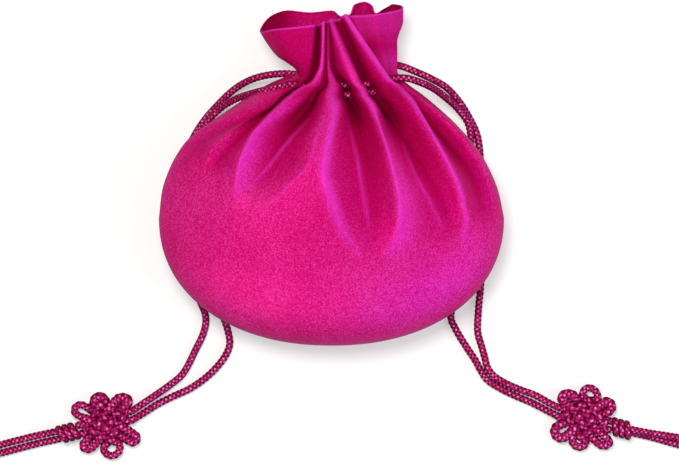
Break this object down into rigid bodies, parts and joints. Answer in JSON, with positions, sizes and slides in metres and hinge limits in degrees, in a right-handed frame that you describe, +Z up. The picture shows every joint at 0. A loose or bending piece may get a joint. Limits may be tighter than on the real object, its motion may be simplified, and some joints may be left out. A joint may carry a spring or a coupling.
{
  "type": "korean fortune pouch",
  "caption": "Round satin drawstring pouch drawn shut into a pleated neck and ruffle, lying on its back, its braided cords tied in woven flower knots",
  "frame": {"origin": "On the table, under the middle of the bag", "axes": "+X to the right seen from above, +Y from the bottom edge to the mouth, +Z up out of the front panel"},
  "size_m": [0.3459, 0.1918, 0.0465],
  "materials": {
    "satin": "magenta satin with a soft purple-pink sheen",
    "braid": "round braided rayon cord, dull magenta with small bright glints"
  },
  "bodies": {
    "root": {"front_panel": "satin", "back_panel": "satin", "left_drawstring_loop": "braid", "left_lower_strand": "braid", "left_upper_strand": "braid", "left_flower_knot": "braid", "left_connection_knot": "braid", "left_upper_tail": "braid", "left_lower_tail": "braid", "left_end_knot": "braid", "right_drawstring_loop": "braid", "right_lower_strand": "braid", "right_upper_strand": "braid", "right_flower_knot": "braid", "right_connection_knot": "braid", "right_upper_tail": "braid", "right_lower_tail": "braid", "right_end_knot": "braid"}
  },
  "joints": []
}
